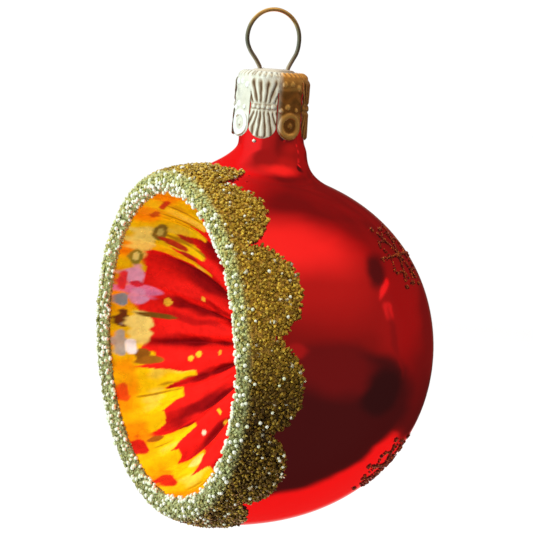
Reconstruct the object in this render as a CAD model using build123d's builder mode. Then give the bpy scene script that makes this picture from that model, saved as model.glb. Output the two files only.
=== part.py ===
"""Blown-glass Christmas bauble with a fluted reflector pressed into its front, a glitter border and stars,
a stamped crown cap and a wire hanger whose sprung legs grip the inside of the neck.

Millimetres. The origin is the centre of the hanging loop. +Z runs up the neck, and the reflector faces -Y.
"""
import os
from math import asin, atan2, cos, degrees, pi, radians, sin, sqrt

from build123d import *

os.makedirs("parts", exist_ok=True)

# Glass body: a solid of revolution about the reflector axis, which is level and passes below the loop
axis_drop = 51.5  # from the loop's centre down to the reflector axis
body_radius = 30.0
back_length = 34.4  # widest circle to the back of the body
front_length = 11.7  # widest circle to the crest of the lip
widest_y = -4.5
lip_radius = 27.1  # crest circle of the lip round the reflector
body_fullness = 2.2  # 2 is an ellipse, more is squarer
outline_angles = (-180, -150, -120, -90, -75, -60, -45, -30, -15, 0, 15, 30, 45, 60, 70, 80, 86, 90)
wall = 0.7

# Reflector: a fluted bowl pressed in from the front
mouth_radius = 25.4
lip_roll = 1.2  # the crest of the lip stands this far in front of the mouth
land = 0.15  # flat ring left between the lip and the bowl
bowl_depth = 18.0
bowl_angles = (0, 10, 22, 36, 50, 64, 78)  # where the bowl's sections lie, 90 being its deepest point
flute_count = 18
flute_height = 1.5
points_per_flute = 6

# Neck: a tube that the cap sits on
neck_radius = 5.6
neck_bore_radius = neck_radius - wall
neck_flare = 5.5
neck_inner_flare = 5.0
neck_rim_rounding = 0.25

# Crown cap: thin stamped sheet with a raised boss, cut into petals
cap_radius = 6.25
cap_sheet = 0.3
cap_shoulder = 1.5
cap_top_z = -5.0
cap_skirt = 10.9
boss_radius = 3.4
boss_height = 0.5
petal_count = 8
petal_gap = 0.3
petal_slit = 7.5
petal_turn = 6.8  # where the first petal's centre lies, from +X towards +Y
seat_gap = 0.6  # between the neck's rim and the cap, so that the rim stays clear of the cap's shoulder

# Wire hanger
wire_radius = 0.4
loop_radius = 4.8  # to the middle of the wire
foot_spread = 2.4  # each leg's distance from the neck axis where it goes through the cap
foot_hole_radius = 0.65
leg_waist = 2.3
leg_spread = 3.9
leg_tip_turn = 0.3
leg_length = 14.2  # from the top of the cap to the tip of a leg

# Glitter: grains in glue, laid on the glass
glue_gap = 0.02
border_thickness = 0.45
scallop_count = 12
scallop_turn = 4.0
scallop_radius = 8.2
scallop_tip_y = -5.6
scallop_root_y = -13.9
neck_clear_radius = 9.6
star_thickness = 0.3
star_count = 4
star_turn = 43.5  # where the first star lies round the axis, from the top towards +X
star_y = 16.8
star_reach = 6.4
star_arm_width = 0.7
star_branch_reach = 2.1
star_branch_at = 3.4
star_dot_radius = 0.65

mouth_y = widest_y - front_length + lip_roll
cap_plate_z = cap_top_z - boss_height
cap_bottom_z = cap_plate_z - cap_skirt
neck_top_z = cap_plate_z - cap_sheet - seat_gap
neck_root_z = -axis_drop + body_radius / 2
hole_z = cap_top_z - cap_sheet / 2
reflector_axis = Axis((0, 0, -axis_drop), (0, 1, 0))
# Half sections are drawn with x along +Y and y as the distance from the reflector axis
half_section = Plane((0, 0, -axis_drop), x_dir=(0, 1, 0), z_dir=(1, 0, 0))


def across_axis(y):
    """The plane across the reflector axis at y, seen from the front."""
    return Plane((0, y, -axis_drop), x_dir=(1, 0, 0), z_dir=(0, -1, 0))


def outline_point(angle, grow):
    """A point of the outline: mouth (angle -180), lip's crest (-90), widest circle (0), back (90)."""
    if angle < -90:
        roll = mouth_y - (lip_roll + grow) * abs(sin(radians(angle)))
        return (roll, lip_radius - (lip_radius - mouth_radius + grow) * abs(cos(radians(angle))))
    along = abs(sin(radians(angle))) ** (2 / body_fullness)
    out = abs(cos(radians(angle))) ** (2 / body_fullness)
    if angle < 0:
        y = widest_y - (front_length + grow) * along
        return (y, lip_radius + (body_radius + grow - lip_radius) * out)
    return (widest_y + (back_length + grow) * along, (body_radius + grow) * out)


def body_solid(grow):
    """The body as a full solid with a flat mouth, moved outwards by grow."""
    outline = [outline_point(angle, grow) for angle in outline_angles]
    with BuildPart() as body:
        with BuildSketch(half_section):
            with BuildLine():
                Spline(outline)
                Polyline(outline[0], (mouth_y, 0), outline[-1])
            make_face()
        revolve(axis=reflector_axis)
    return body.part


def bowl_section(angle, grow):
    """One closed, wavy section of the bowl. The flutes grow from nothing at the mouth."""
    radius = (mouth_radius - land + grow) * cos(radians(angle))
    height = flute_height * sin(radians(angle)) ** 0.7 * cos(radians(angle)) ** 0.5
    turns = [2 * pi * i / (flute_count * points_per_flute) for i in range(flute_count * points_per_flute)]
    reach = [radius - height * (1 - cos(flute_count * turn)) / 2 for turn in turns]
    return [(r * cos(turn), r * sin(turn)) for r, turn in zip(reach, turns)]


def bowl_solid(grow):
    """What the reflector takes out of the body, made larger by grow."""
    with BuildPart() as bowl:
        for angle in bowl_angles:
            y = mouth_y + (bowl_depth + grow) * sin(radians(angle))
            with BuildSketch(across_axis(y)):
                with BuildLine():
                    Spline(bowl_section(angle, grow), periodic=True)
                make_face()
        loft()
    return bowl.part


def neck_tube(radius, top_z, grow, flare):
    """The body moved outwards by grow, joined to a neck of the given radius by a flare."""
    with BuildPart() as tube:
        add(body_solid(grow))
        with Locations((0, 0, neck_root_z)):
            Cylinder(radius, top_z - neck_root_z, align=(Align.CENTER, Align.CENTER, Align.MIN))
        shoulder = [
            edge
            for edge in tube.edges()
            if edge.geom_type == GeomType.BSPLINE and edge.center().Z > neck_root_z and abs(edge.center().Y) < 6
        ]
        fillet(shoulder, flare)
    return tube.part


outer_glass = neck_tube(neck_radius, neck_top_z, 0, neck_flare)
inner_glass = neck_tube(neck_bore_radius, neck_top_z + wall, -wall, neck_inner_flare)

# Body, neck and reflector are one wall of blown glass
with BuildPart() as glass_bauble:
    add(outer_glass)
    fillet(glass_bauble.edges().group_by(Axis.Z)[-1], neck_rim_rounding)
    add(inner_glass - bowl_solid(wall), mode=Mode.SUBTRACT)
    add(bowl_solid(0), mode=Mode.SUBTRACT)
glass_bauble.part.label = "glass_bauble"
export_step(glass_bauble.part, "parts/glass_bauble.step")

# Glitter border: over the lip, ending in scallops round the widest part
with BuildPart() as border_outline:
    with Locations(across_axis(scallop_root_y)):
        Cylinder(body_radius * 2, body_radius, align=(Align.CENTER, Align.CENTER, Align.MIN))
    for i in range(scallop_count // 2):
        outward = Vector(0, 0, 1).rotate(Axis.Y, 360 * i / scallop_count + scallop_turn)
        with Locations(Plane((0, scallop_tip_y - scallop_radius, -axis_drop), z_dir=outward)):
            Cylinder(scallop_radius, body_radius * 3)

with BuildPart() as glitter_border:
    add(body_solid(glue_gap + border_thickness))
    add(body_solid(glue_gap), mode=Mode.SUBTRACT)
    add(border_outline.part, mode=Mode.INTERSECT)
    Cylinder(
        neck_clear_radius,
        axis_drop,
        align=(Align.CENTER, Align.CENTER, Align.MAX),
        mode=Mode.SUBTRACT,
    )
glitter_border.part.label = "glitter_border"
export_step(glitter_border.part, "parts/glitter_border.step")

# Glitter stars, spaced evenly round the back
star_angle = degrees(asin(((star_y - widest_y) / back_length) ** (body_fullness / 2)))
star_radius = outline_point(star_angle, 0)[1]
star_lean = degrees(
    atan2(
        ((star_y - widest_y) / back_length) ** (body_fullness - 1) / back_length,
        (star_radius / body_radius) ** (body_fullness - 1) / body_radius,
    )
)
with BuildPart() as star_skin:
    add(body_solid(glue_gap + star_thickness))
    add(body_solid(glue_gap), mode=Mode.SUBTRACT)

for i in range(star_count):
    turn = star_turn + 360 * i / star_count
    centre = Vector(0, star_y, star_radius).rotate(Axis.Y, turn) - Vector(0, 0, axis_drop)
    outward = Vector(0, sin(radians(star_lean)), cos(radians(star_lean))).rotate(Axis.Y, turn)
    with BuildPart() as glitter_star:
        with BuildSketch(Plane(centre, x_dir=Vector(0, 1, 0).cross(outward), z_dir=outward)):
            with PolarLocations(0, 6):
                with Locations((star_reach / 2, 0)):
                    Rectangle(star_reach, star_arm_width)
                with Locations((star_branch_at, 0)):
                    for side in (-1, 1):
                        with Locations(Location((0, 0, 0), (0, 0, 60 * side))):
                            Rectangle(star_branch_reach, star_arm_width, align=(Align.MIN, Align.CENTER))
                with Locations((star_reach, 0)):
                    Circle(star_dot_radius)
            Circle(star_dot_radius * 1.6)
        extrude(amount=star_reach / 2, both=True)
        add(star_skin.part, mode=Mode.INTERSECT)
    glitter_star.part.label = f"glitter_star_{i + 1}"
    export_step(glitter_star.part, f"parts/glitter_star_{i + 1}.step")

# Crown cap: boss, rounded shoulder and a skirt slit into round-ended petals
petal_radius = cap_radius * sin(pi / petal_count) - petal_gap / 2
petal_centre_z = cap_bottom_z + petal_radius
with BuildPart() as petal_ends:
    for i in range(petal_count // 2):
        outward = Vector(1, 0, 0).rotate(Axis.Z, petal_turn + 360 * i / petal_count)
        with Locations(Plane((0, 0, petal_centre_z), z_dir=outward)):
            Cylinder(petal_radius, cap_radius * 3)
    with Locations((0, 0, petal_centre_z)):
        Cylinder(cap_radius * 2, axis_drop, align=(Align.CENTER, Align.CENTER, Align.MIN))

with BuildPart() as crown_cap:
    with BuildSketch(Plane.XZ):
        with BuildLine():
            Polyline(
                (0, cap_top_z),
                (boss_radius, cap_top_z),
                (boss_radius + boss_height, cap_plate_z),
                (cap_radius - cap_shoulder, cap_plate_z),
            )
            RadiusArc(
                (cap_radius - cap_shoulder, cap_plate_z),
                (cap_radius, cap_plate_z - cap_shoulder),
                cap_shoulder,
            )
            Polyline(
                (cap_radius, cap_plate_z - cap_shoulder),
                (cap_radius, cap_bottom_z),
                (cap_radius - cap_sheet, cap_bottom_z),
                (cap_radius - cap_sheet, cap_plate_z - cap_shoulder),
            )
            RadiusArc(
                (cap_radius - cap_sheet, cap_plate_z - cap_shoulder),
                (cap_radius - cap_shoulder, cap_plate_z - cap_sheet),
                -(cap_shoulder - cap_sheet),
            )
            Polyline(
                (cap_radius - cap_shoulder, cap_plate_z - cap_sheet),
                (boss_radius + boss_height - cap_sheet, cap_plate_z - cap_sheet),
                (boss_radius - cap_sheet, cap_top_z - cap_sheet),
                (0, cap_top_z - cap_sheet),
                (0, cap_top_z),
            )
        make_face()
    revolve(axis=Axis.Z)
    add(petal_ends.part, mode=Mode.INTERSECT)
    with Locations((0, 0, cap_bottom_z)):
        with PolarLocations(0, petal_count // 2, petal_turn + 180 / petal_count, 180, endpoint=False):
            Box(
                cap_radius * 3,
                petal_gap,
                petal_slit,
                align=(Align.CENTER, Align.CENTER, Align.MIN),
                mode=Mode.SUBTRACT,
            )
    with Locations((0, -foot_spread, hole_z), (0, foot_spread, hole_z)):
        Cylinder(foot_hole_radius, cap_sheet * 3, mode=Mode.SUBTRACT)
crown_cap.part.label = "crown_cap"
export_step(crown_cap.part, "parts/crown_cap.step")

# Wire hanger: a loop whose ends run straight into the cap's holes, then spring outwards in the neck
foot_distance = sqrt(foot_spread**2 + hole_z**2)
leave_angle = atan2(hole_z, foot_spread) + asin(sqrt(foot_distance**2 - loop_radius**2) / foot_distance)
leave = (loop_radius * cos(leave_angle), loop_radius * sin(leave_angle))
leave_direction = (sin(leave_angle), -cos(leave_angle))
tip_z = cap_top_z - leg_length
tip = (leg_spread - leg_tip_turn, tip_z)
leg_points = [
    (foot_spread, hole_z),
    (leg_waist, cap_plate_z - 2),
    ((leg_waist + leg_spread) / 2, (cap_plate_z + tip_z) / 2),
    (leg_spread, tip_z + 3),
    tip,
]
with BuildPart() as wire_hanger:
    with BuildLine(Plane.YZ) as wire_path:
        for side in (-1, 1):
            top = (side * leave[0], leave[1])
            hole = (side * foot_spread, hole_z)
            Spline(top, hole, tangents=[(side * leave_direction[0], leave_direction[1]), (-side * 0.1, -1)])
            Spline([(side * y, z) for y, z in leg_points], tangents=[(-side * 0.1, -1), (-side * 0.1, -1)])
        ThreePointArc(leave, (0, loop_radius), (-leave[0], leave[1]))
    with BuildSketch(Plane((0, tip[0], tip[1]), z_dir=(0, -0.1, -1))):
        Circle(wire_radius)
    sweep(path=wire_path.wires()[0], transition=Transition.ROUND)
wire_hanger.part.label = "wire_hanger"
export_step(wire_hanger.part, "parts/wire_hanger.step")
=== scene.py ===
"""Blown-glass Christmas bauble with a fluted reflector: looks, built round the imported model.

Lengths are in millimetres and are turned to metres as each mesh is made. The reflector axis runs along Y,
AXIS_Z below the hanging loop. Angles round it start at the top and grow towards +X.
"""
import math
import random

import bmesh
import bpy
from mathutils import Matrix, Vector, noise
from mathutils.bvhtree import BVHTree


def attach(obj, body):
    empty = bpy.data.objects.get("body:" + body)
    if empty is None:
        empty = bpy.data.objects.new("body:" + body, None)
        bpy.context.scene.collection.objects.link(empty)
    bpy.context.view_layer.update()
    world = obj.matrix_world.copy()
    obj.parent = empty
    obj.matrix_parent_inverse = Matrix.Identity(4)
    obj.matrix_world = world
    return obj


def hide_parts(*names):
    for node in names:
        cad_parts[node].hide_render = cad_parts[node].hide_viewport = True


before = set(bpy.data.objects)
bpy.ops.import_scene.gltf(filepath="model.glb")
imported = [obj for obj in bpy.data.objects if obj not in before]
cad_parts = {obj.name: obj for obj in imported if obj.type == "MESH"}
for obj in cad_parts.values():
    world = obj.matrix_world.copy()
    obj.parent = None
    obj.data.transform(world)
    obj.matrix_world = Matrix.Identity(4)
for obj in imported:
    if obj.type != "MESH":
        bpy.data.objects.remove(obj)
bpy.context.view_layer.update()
scene = bpy.context.scene
scene.view_settings.view_transform = "Standard"

MM = 0.001

# The bauble's outline, as in the CAD model
AXIS_Z = -51.5
BODY_RADIUS = 30.0
BACK_LENGTH = 34.4
FRONT_LENGTH = 11.7
WIDEST_Y = -4.5
LIP_RADIUS = 27.1
FULLNESS = 2.2
MOUTH_RADIUS = 25.4
LIP_ROLL = 1.2
MOUTH_Y = WIDEST_Y - FRONT_LENGTH + LIP_ROLL

# The mouth of the blown glass is not quite square to its axis
TOP_FORWARD = 1.30  # how far forward of square the top of the mouth is
RIGHT_BACK = 0.85  # how far back of square its +X side is
SQUARE_FROM, TIPPED_BY = -3.0, -13.0  # where the tipping starts and where it is complete

# Neck
NECK_RADIUS = 5.4
NECK_WALL = 0.45
NECK_TOP = -6.4
NECK_BORE = 14.0  # how far down the inside of the neck is drawn
NECK_SIDE = (0.44, 0.90)  # the side towards which the neck stands off its axis
NECK_SHIFT, FLARE_SHIFT = 0.3, 0.85  # how far the tube and the top of its flare stand off
FLARE_FORE, FLARE_AFT = 6.3, 8.2  # size of the flare on its narrowest and on its widest side
FLARE_WIDEST = 64.0  # where its widest side is, in degrees from +X towards +Y
FLARE_RIM = 4  # rows of the flare that lie just under the body
HOLE_LAP = 0.5  # the hole in the body stops this far inside the flare's foot

# Reflector
DISH_DEPTH = 18.0
FLUTES = 18
CREASE_TURN = 2.0  # where the first crease lies, in degrees

# Glitter
SCALLOPS = 12
SCALLOP_RADIUS = 8.2
SCALLOP_TIP_Y = -5.6
SCALLOP_ROOT_Y = -13.9
SCALLOP_TURN = 4.0  # where the first scallop lies, in degrees
SHORT_SCALLOPS = {1: 2.0, 5: 1.3}  # scallops laid short, counted round from the top, and by how much
NECK_CLEAR = 8.6
GRAIN_PITCH = 0.68
STAR_TURN = 43.5
STAR_Y = 16.8

# Stars
STAR_BRANCH_AT = 3.4
STAR_BRANCH_DOT = 2.5
STAR_ARM_DOT = 6.3

# Cap
CAP_TOP = -5.0
CAP_PLATE = CAP_TOP - 0.5
CAP_BOTTOM = -16.4
CAP_RADIUS = 5.98
CAP_SHOULDER = 1.7
PETALS = 8
PETAL_TURN = 6.8
SLIT_LENGTH = 7.6
CAP_SHEET = 0.12
FOOT_SPREAD = 2.4
FOOT_HOLE = 0.6

# Wire
WIRE_RADIUS = 0.35
LOOP_RADIUS = 4.8
LOOP_LEAN = 0.5  # the loop is bent this far towards the reflector
LEG_LENGTH = 14.2

# View
TARGET_Y = -15.8
VIEW_AZIMUTH, VIEW_ELEVATION, VIEW_ROLL = 63.7, 6.3, 4.24
VIEW_RIGHT, VIEW_UP, VIEW_DISTANCE = 15.36, 14.15, 357.6
LENS, SENSOR = 146.15, 36.0

# Stage
FLOOR_SIZE, FLOOR_Z = 6.0, -0.30  # metres
KEY_DISTANCE, KEY_SIZE, KEY_POWER = 0.6, 0.12, 3.0  # metres, metres, watts
DOME_RADIUS = 2.0  # metres


def smooth(a, b, x):
    """0 below a, 1 above b and a smooth step between."""
    t = min(max((x - a) / (b - a), 0.0), 1.0)
    return t * t * (3 - 2 * t)


def outline(angle, grow=0.0):
    """(y, radius) of the bauble: mouth at -180, lip's crest at -90, widest at 0, back at 90."""
    s = abs(math.sin(math.radians(angle)))
    c = abs(math.cos(math.radians(angle)))
    if angle < -90:
        return (MOUTH_Y - (LIP_ROLL + grow) * s, LIP_RADIUS - (LIP_RADIUS - MOUTH_RADIUS + grow) * c)
    s, c = s ** (2 / FULLNESS), c ** (2 / FULLNESS)
    if angle < 0:
        return (WIDEST_Y - (FRONT_LENGTH + grow) * s, LIP_RADIUS + (BODY_RADIUS + grow - LIP_RADIUS) * c)
    return (WIDEST_Y + (BACK_LENGTH + grow) * s, (BODY_RADIUS + grow) * c)


def around(y, radius, turn):
    """The point at y, radius from the reflector axis, turn degrees round from the top."""
    a = math.radians(turn)
    return Vector((radius * math.sin(a), y, AXIS_Z + radius * math.cos(a)))


def settled(point):
    """point moved by the tipping of the mouth."""
    weight = smooth(SQUARE_FROM, TIPPED_BY, point.y)
    tip = RIGHT_BACK * point.x - TOP_FORWARD * (point.z - AXIS_Z)
    return Vector((point.x, point.y + weight * tip / MOUTH_RADIUS, point.z))


def outline_at(angle, turn, grow=0.0):
    """(point, outward normal) on the bauble's outside."""
    y, r = outline(angle, grow)
    y0, r0 = outline(angle - 0.5, grow)
    y1, r1 = outline(angle + 0.5, grow)
    normal = Vector((-(y1 - y0), r1 - r0)).normalized()  # (radial, along y)
    a = math.radians(turn)
    out = -normal.x
    return around(y, r, turn), Vector((out * math.sin(a), -normal.y, out * math.cos(a)))


def cell(i, j, columns):
    """The corners of the cell at row i and column j of a grid whose rows close on themselves."""
    k = (j + 1) % columns
    return (i * columns + j, i * columns + k, (i + 1) * columns + k, (i + 1) * columns + j)


def new_piece(name, verts, faces, material, body, smooth_faces=True, colours=None):
    """A mesh piece from millimetre points, riding on a body. colours is one RGB for each point."""
    mesh = bpy.data.meshes.new(name)
    mesh.from_pydata([tuple(c * MM for c in v) for v in verts], [], faces)
    mesh.polygons.foreach_set("use_smooth", [smooth_faces] * len(mesh.polygons))
    if colours is not None:
        layer = mesh.color_attributes.new("paint", "FLOAT_COLOR", "POINT")
        layer.data.foreach_set("color", [c for rgb in colours for c in (*rgb, 1.0)])
    mesh.materials.append(material)
    mesh.update()
    piece = bpy.data.objects.new(name, mesh)
    scene.collection.objects.link(piece)
    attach(piece, body)
    return piece


# ---------------------------------------------------------------- materials
class Nodes:
    """Short names for making a material's nodes."""

    def __init__(self, name):
        self.material = bpy.data.materials.new(name)
        self.material.use_nodes = True
        self.tree = self.material.node_tree
        self.shader = self.tree.nodes["Principled BSDF"]

    def add(self, kind, **values):
        node = self.tree.nodes.new(kind)
        for key, value in values.items():
            if key in node.inputs:
                node.inputs[key].default_value = value
            else:
                setattr(node, key, value)
        return node

    def link(self, source, target):
        self.tree.links.new(source, target)

    def noise(self, scale, detail=4.0, rough=0.5):
        texture = self.add("ShaderNodeTexNoise")
        texture.inputs["Scale"].default_value = scale
        texture.inputs["Detail"].default_value = detail
        texture.inputs["Roughness"].default_value = rough
        coords = self.add("ShaderNodeTexCoord")
        self.link(coords.outputs["Object"], texture.inputs["Vector"])
        return texture.outputs["Fac"]

    def ramp(self, factor, stops):
        ramp = self.add("ShaderNodeValToRGB")
        points = ramp.color_ramp.elements
        while len(points) < len(stops):
            points.new(0.5)
        for point, (at, colour) in zip(points, stops):
            point.position = at
            point.color = (*colour, 1.0) if len(colour) == 3 else colour
        self.link(factor, ramp.inputs["Fac"])
        return ramp.outputs["Color"]

    def span(self, value, low, high):
        """value from 0..1 to low..high."""
        node = self.add("ShaderNodeMapRange")
        node.inputs["To Min"].default_value = low
        node.inputs["To Max"].default_value = high
        self.link(value, node.inputs["Value"])
        return node.outputs["Result"]

    def multiply(self, a, b, factor=1.0):
        mix = self.add("ShaderNodeMix", data_type="RGBA", blend_type="MULTIPLY")
        mix.inputs["Factor"].default_value = factor
        self.link(a, mix.inputs[6])
        self.link(b, mix.inputs[7])
        return mix.outputs[2]

    def bump(self, height, distance, strength=1.0):
        node = self.add("ShaderNodeBump")
        node.inputs["Distance"].default_value = distance * MM
        node.inputs["Strength"].default_value = strength
        self.link(height, node.inputs["Height"])
        self.link(node.outputs["Normal"], self.shader.inputs["Normal"])

    def vector(self, operation, *values):
        """The result of a vector maths node fed with sockets or constants."""
        node = self.add("ShaderNodeVectorMath", operation=operation)
        for socket, value in zip(node.inputs, values):
            if isinstance(value, bpy.types.NodeSocket):
                self.link(value, socket)
            else:
                socket.default_value = value
        return node.outputs["Value" if operation in ("DOT_PRODUCT", "LENGTH") else "Vector"]

    def set(self, **values):
        for key, value in values.items():
            self.shader.inputs[key.replace("_", " ")].default_value = value


def lacquered_glass():
    """Clear red lacquer over silvered glass."""
    n = Nodes("lacquered_silvered_glass")
    n.set(Metallic=1.0, Specular_Tint=(0.9, 0.10, 0.10, 1.0), Coat_Weight=0.05, Coat_Roughness=0.02)
    # A faint painted glow that lifts the darkest reflections of the glass.
    n.set(Emission_Color=(1.0, 0.75, 0.75, 1.0), Emission_Strength=0.007)
    tint = n.ramp(n.noise(60, 3), [(0.3, (0.90, 0.012, 0.014)), (0.7, (0.97, 0.017, 0.018))])
    n.link(tint, n.shader.inputs["Base Color"])
    n.link(n.span(n.noise(180, 3), 0.05, 0.11), n.shader.inputs["Roughness"])
    n.bump(n.noise(38, 1.5, 0.3), 0.5, 0.3)
    return n.material


def painted_reflector():
    """The reflector's paint, with painted shade in its creases and a painted highlight, which its mesh
    carries, over silvering.
    """
    n = Nodes("painted_reflector")
    n.set(Metallic=0.35, Specular_IOR_Level=0.06)
    paint = n.add("ShaderNodeVertexColor", layer_name="paint")
    cloud = n.ramp(n.noise(900, 4), [(0.25, (0.80, 0.80, 0.80)), (0.6, (1, 1, 1))])
    tone = n.multiply(paint.outputs["Color"], cloud)
    n.link(tone, n.shader.inputs["Base Color"])
    n.link(tone, n.shader.inputs["Specular Tint"])
    n.link(n.span(n.noise(300, 3), 0.15, 0.38), n.shader.inputs["Roughness"])
    n.bump(n.noise(550, 3), 0.25, 0.4)
    return n.material


def glitter(name):
    """Crushed glitter, coloured by its mesh."""
    n = Nodes(name)
    n.set(Metallic=0.85, Coat_Weight=0.3, Coat_Roughness=0.05)
    paint = n.add("ShaderNodeVertexColor", layer_name="paint")
    speck = n.ramp(n.noise(3000, 2), [(0.3, (0.70, 0.68, 0.62)), (0.6, (1, 1, 1))])
    n.link(n.multiply(paint.outputs["Color"], speck), n.shader.inputs["Base Color"])
    n.link(n.span(n.noise(2500, 2), 0.12, 0.38), n.shader.inputs["Roughness"])
    return n.material


def glue():
    """The glue under the grains, coloured by its mesh."""
    n = Nodes("border_glue")
    n.set(Metallic=0.5)
    paint = n.add("ShaderNodeVertexColor", layer_name="paint")
    specks = n.ramp(n.noise(2200, 3), [(0.35, (0.25, 0.22, 0.18)), (0.65, (1, 1, 1))])
    n.link(n.multiply(paint.outputs["Color"], specks), n.shader.inputs["Base Color"])
    n.link(n.span(n.noise(1500, 2), 0.25, 0.6), n.shader.inputs["Roughness"])
    n.bump(n.noise(1800, 3), 0.3, 0.8)
    return n.material


def stamped_sheet():
    """Thin bright sheet, coloured by its mesh, whose colours carry painted shade and painted highlights."""
    n = Nodes("stamped_sheet")
    n.set(Metallic=0.68)
    paint = n.add("ShaderNodeVertexColor", layer_name="paint")
    metal = n.ramp(n.noise(350, 4), [(0.3, (0.80, 0.78, 0.72)), (0.7, (1.0, 1.0, 0.97))])
    n.link(n.multiply(paint.outputs["Color"], metal), n.shader.inputs["Base Color"])
    n.link(n.span(n.noise(900, 4), 0.12, 0.30), n.shader.inputs["Roughness"])
    n.bump(n.noise(1600, 3), 0.05, 0.4)
    return n.material


def drawn_wire():
    """Bright gold wire, painted bright over the top of the loop as a painted highlight and grey down its
    sides as painted shade.
    """
    n = Nodes("drawn_wire")
    n.set(Metallic=0.9)
    coords = n.add("ShaderNodeTexCoord")
    split = n.add("ShaderNodeSeparateXYZ")
    n.link(coords.outputs["Object"], split.inputs["Vector"])
    height = n.add("ShaderNodeMapRange")
    height.inputs["From Min"].default_value = -5 * MM
    height.inputs["From Max"].default_value = 5 * MM
    n.link(split.outputs["Z"], height.inputs["Value"])
    # Colour by height: a painted highlight over the top of the loop and painted shade down its sides.
    stops = [(0.0, (0.60, 0.50, 0.34)), (0.40, (0.19, 0.21, 0.16))]
    stops += [(0.68, (0.28, 0.26, 0.15)), (0.92, (1.0, 0.66, 0.22))]
    tone = n.ramp(height.outputs["Result"], stops)
    wear = n.ramp(n.noise(500, 3), [(0.3, (0.75, 0.75, 0.75)), (0.7, (1, 1, 1))])
    n.link(n.multiply(tone, wear), n.shader.inputs["Base Color"])
    n.link(n.span(n.noise(1200, 3), 0.12, 0.3), n.shader.inputs["Roughness"])
    n.bump(n.noise(2500, 2), 0.03, 0.3)
    return n.material


def glass_bead():
    """Pale glass beads."""
    n = Nodes("glass_bead")
    n.set(Metallic=0.55, Coat_Weight=0.5, Coat_Roughness=0.02)
    tint = n.ramp(n.noise(900, 2), [(0.35, (0.80, 0.90, 0.60)), (0.6, (0.96, 1.0, 0.90))])
    n.link(tint, n.shader.inputs["Base Color"])
    n.link(n.span(n.noise(1500, 2), 0.05, 0.22), n.shader.inputs["Roughness"])
    return n.material


# ---------------------------------------------------------------- glass
def on_top(x, y):
    """The height of the body's upper outside at x, y."""
    low, high = (0.0, 90.0) if y > WIDEST_Y else (-90.0, 0.0)
    for _ in range(30):
        middle = (low + high) / 2
        if outline(middle)[0] < y:
            low = middle
        else:
            high = middle
    return AXIS_Z + math.sqrt(outline(low)[1] ** 2 - x * x)


def flare_foot(a):
    """(size of the flare, distance of its foot from the axis, slope of the body there) in direction a."""
    size = FLARE_FORE + (FLARE_AFT - FLARE_FORE) * (0.5 + 0.5 * math.cos(a - math.radians(FLARE_WIDEST)))

    def slope(d):
        x, y = math.cos(a), math.sin(a)
        return (on_top((d + 0.05) * x, (d + 0.05) * y) - on_top((d - 0.05) * x, (d - 0.05) * y)) / 0.1

    low, high = NECK_RADIUS, NECK_RADIUS + size
    for _ in range(24):
        foot = (low + high) / 2
        m = slope(foot)
        if foot - size * m / math.hypot(1, m) < NECK_RADIUS + size:
            low = foot
        else:
            high = foot
    return size, foot, slope(foot)


def glass_body(material):
    """The outside of the glass from the mouth round the lip to the back, with a hole for the neck."""
    columns = 480
    angles = [-180 + 90 * i / 24 for i in range(24)] + [-90 + 180 * (i / 150) for i in range(150)] + [89.9]
    verts = [around(*outline(angle), 360 * j / columns) for angle in angles for j in range(columns)]
    feet = [flare_foot(math.radians(degree))[1] for degree in range(361)]

    def under_flare(v):
        foot = feet[round(math.degrees(math.atan2(v.y, v.x)) % 360)]
        return v.z > AXIS_Z and math.hypot(v.x, v.y) < foot - HOLE_LAP

    covered = [under_flare(v) for v in verts]
    faces = []
    for i in range(len(angles) - 1):
        for j in range(columns):
            quad = cell(i, j, columns)
            if not all(covered[v] for v in quad):
                faces.append(quad)
    piece = new_piece("glass_body", [settled(v) for v in verts], faces, material, "bauble")
    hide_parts("glass_bauble")
    return piece


def flare_profile(a):
    """(distance from the neck's axis, z) from the body up to the foot of the tube, in direction a."""
    size, foot, m = flare_foot(a)
    lean = math.atan(-m)
    z = on_top(foot * math.cos(a), foot * math.sin(a))
    middle = (NECK_RADIUS + size, z + size * math.cos(lean))
    points = []
    for i in range(FLARE_RIM):
        d = foot + 0.4 * (1 - i / FLARE_RIM)
        points.append((d, on_top(d * math.cos(a), d * math.sin(a)) - 0.012))
    for i in range(33):
        t = lean + (math.pi / 2 - lean) * i / 32
        points.append((middle[0] - size * math.sin(t), middle[1] - size * math.cos(t)))
    return points


def glass_neck(material):
    """The neck: a flare out of the body, a tube, a rounded rim and the bore."""
    columns = 240
    verts, faces = [], []
    rim = NECK_WALL / 2
    for j in range(columns):
        a = 2 * math.pi * j / columns
        column = flare_profile(a)
        foot, top = column[FLARE_RIM][1], column[-1][1]
        column += [(NECK_RADIUS, top + (NECK_TOP - rim - top) * (i + 1) / 20) for i in range(20)]
        for i in range(1, 9):
            t = math.pi * i / 8
            column.append((NECK_RADIUS - rim + rim * math.cos(t), NECK_TOP - rim + rim * math.sin(t)))
        column += [(NECK_RADIUS - NECK_WALL, NECK_TOP - rim - NECK_BORE * (i + 1) / 12) for i in range(12)]
        for d, z in column:
            upright = smooth(-18.8, -16.4, z)
            rise = smooth(0.15, 0.85, (z - foot) / (top - foot))
            off = (NECK_SHIFT + 0.12 * smooth(-13, -16.4, z)) * upright + FLARE_SHIFT * rise * (1 - upright)
            point = Vector((d * math.cos(a) + NECK_SIDE[0] * off, d * math.sin(a) + NECK_SIDE[1] * off, z))
            verts.append(point.lerp(settled(point), smooth(-18.0, -21.0, z)))
    rows = len(verts) // columns
    for j in range(columns):
        k = (j + 1) % columns
        for i in range(rows - 1):
            faces.append((j * rows + i, k * rows + i, k * rows + i + 1, j * rows + i + 1))
    piece = new_piece("glass_neck", verts, faces, material, "bauble")
    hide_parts("glass_bauble")
    return piece


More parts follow.
